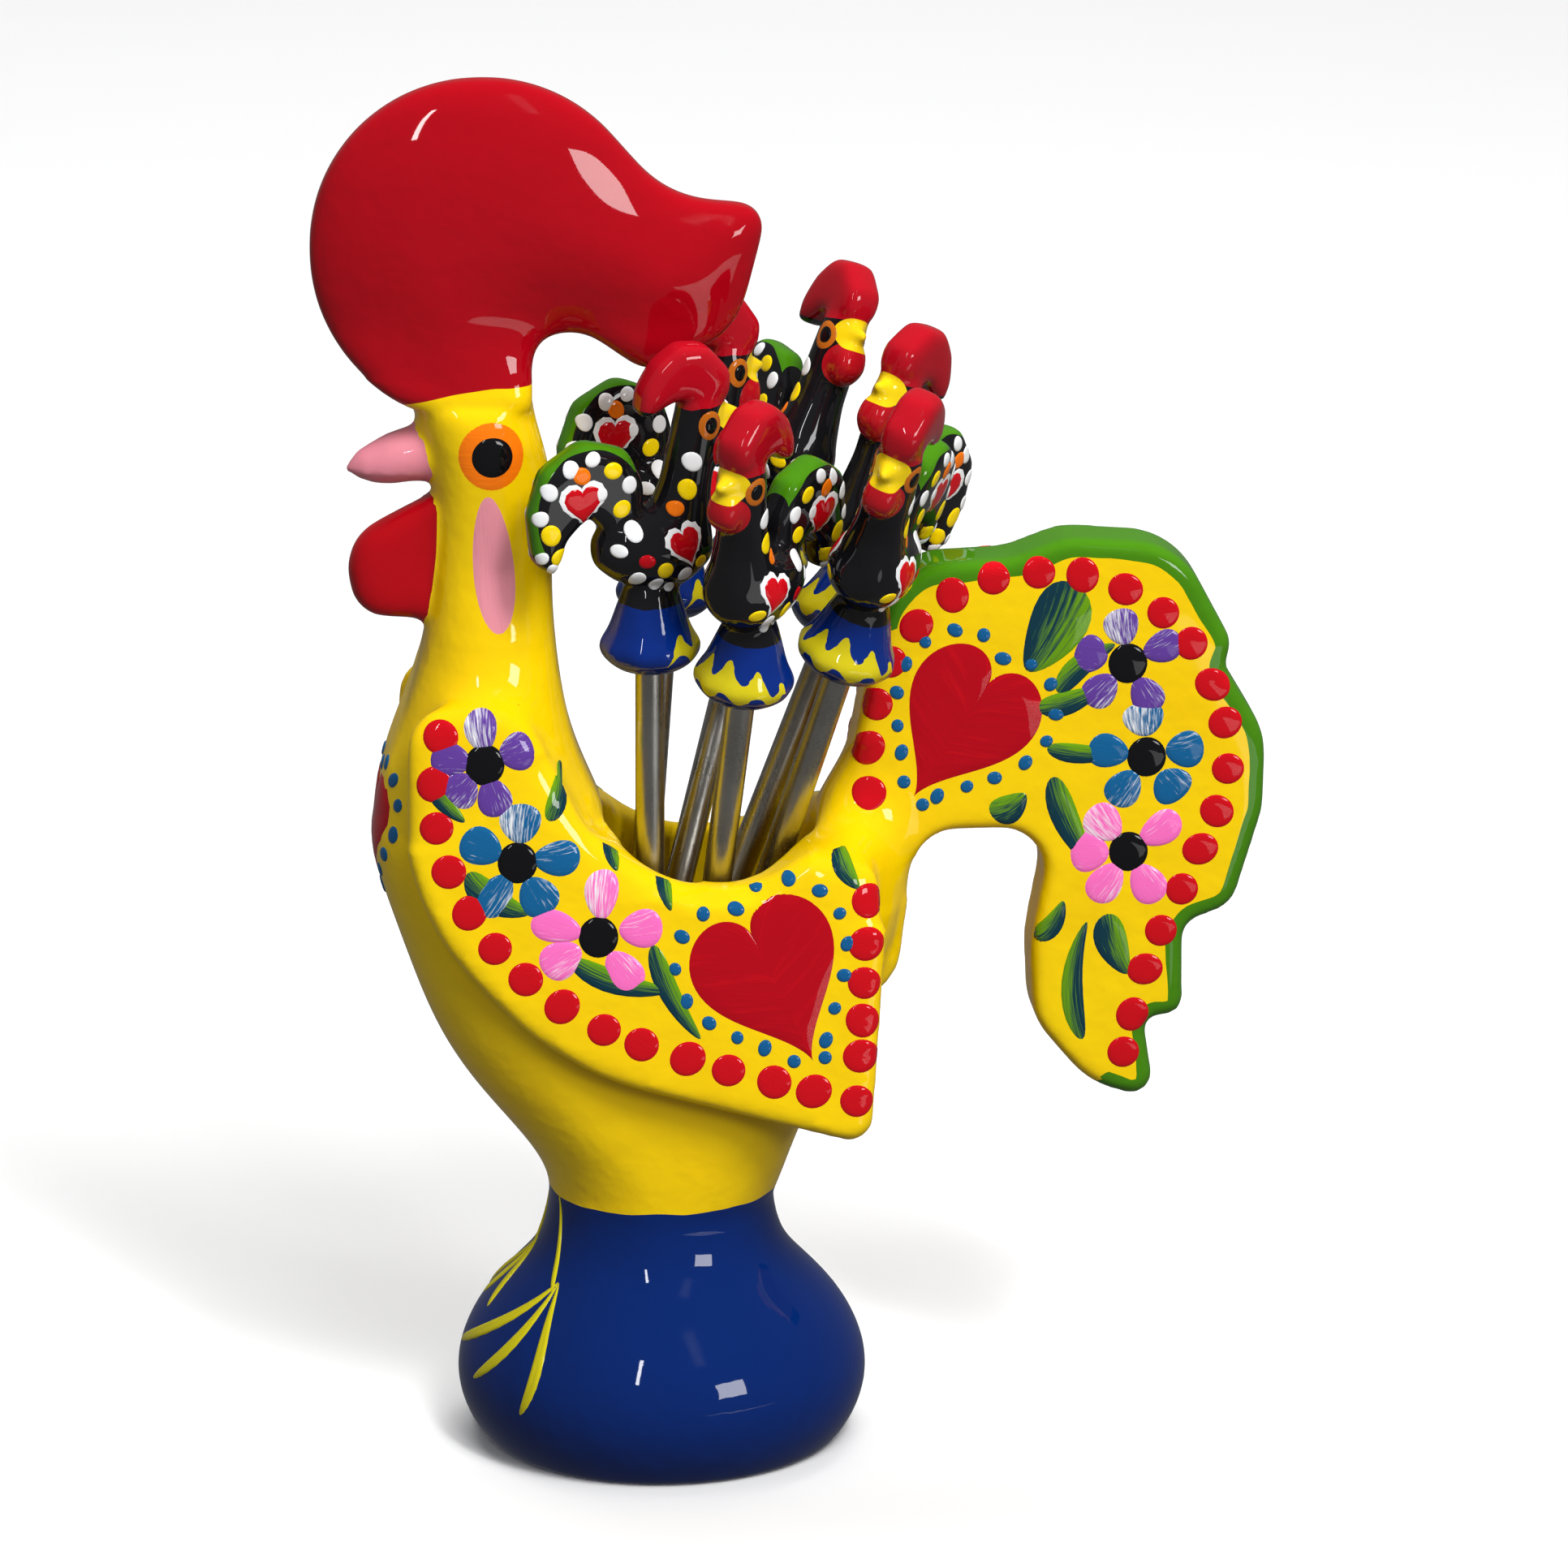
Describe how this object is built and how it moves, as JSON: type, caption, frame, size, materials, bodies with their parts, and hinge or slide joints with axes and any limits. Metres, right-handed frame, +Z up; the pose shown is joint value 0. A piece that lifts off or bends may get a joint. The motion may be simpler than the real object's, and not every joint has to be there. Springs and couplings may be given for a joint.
{
  "type": "rooster snack fork holder",
  "caption": "Glazed clay rooster on a round pedestal, its open back a well that holds upright snack forks with small cast rooster finials.",
  "frame": {"origin": "centre of the flat foot ring that the pedestal stands on", "axes": "+Z up, the big rooster faces -X, its left wing is on the -Y side"},
  "size_m": [0.1044, 0.0589, 0.1542],
  "materials": {
    "glaze_blue": "gloss",
    "glaze_yellow": "gloss",
    "glaze_red": "gloss",
    "glaze_bright_red": "gloss",
    "glaze_pink": "gloss",
    "steel": "polished",
    "painted_black": "gloss"
  },
  "bodies": {
    "holder": {"pedestal": "glaze_blue", "body_bowl": "glaze_yellow", "neck_head": "glaze_yellow", "comb": "glaze_red", "beak": "glaze_pink", "wattle": "glaze_bright_red", "wing_left": "glaze_yellow", "wing_right": "glaze_yellow", "tail": "glaze_yellow"},
    "fork_1": {"fork_1": "steel", "finial_1": "painted_black"},
    "fork_2": {"fork_2": "steel", "finial_2": "painted_black"},
    "fork_3": {"fork_3": "steel", "finial_3": "painted_black"},
    "fork_4": {"fork_4": "steel", "finial_4": "painted_black"},
    "fork_5": {"fork_5": "steel", "finial_5": "painted_black"},
    "fork_6": {"fork_6": "steel", "finial_6": "painted_black"}
  },
  "joints": [
    {"name": "fork_1_lift", "type": "slide", "parent": "holder", "child": "fork_1", "axis": [-0.0007, -0.0758, 0.9971], "range_m": [0, 0.06]},
    {"name": "fork_2_lift", "type": "slide", "parent": "holder", "child": "fork_2", "axis": [0.0803, 0.0904, 0.9927], "range_m": [0, 0.06]},
    {"name": "fork_3_lift", "type": "slide", "parent": "holder", "child": "fork_3", "axis": [0.1015, -0.2028, 0.9739], "range_m": [0, 0.06]},
    {"name": "fork_4_lift", "type": "slide", "parent": "holder", "child": "fork_4", "axis": [0.269, -0.2302, 0.9352], "range_m": [0, 0.06]},
    {"name": "fork_5_lift", "type": "slide", "parent": "holder", "child": "fork_5", "axis": [0.2637, 0.261, 0.9286], "range_m": [0, 0.06]},
    {"name": "fork_6_lift", "type": "slide", "parent": "holder", "child": "fork_6", "axis": [0.3776, 0.1372, 0.9157], "range_m": [0, 0.06]}
  ]
}
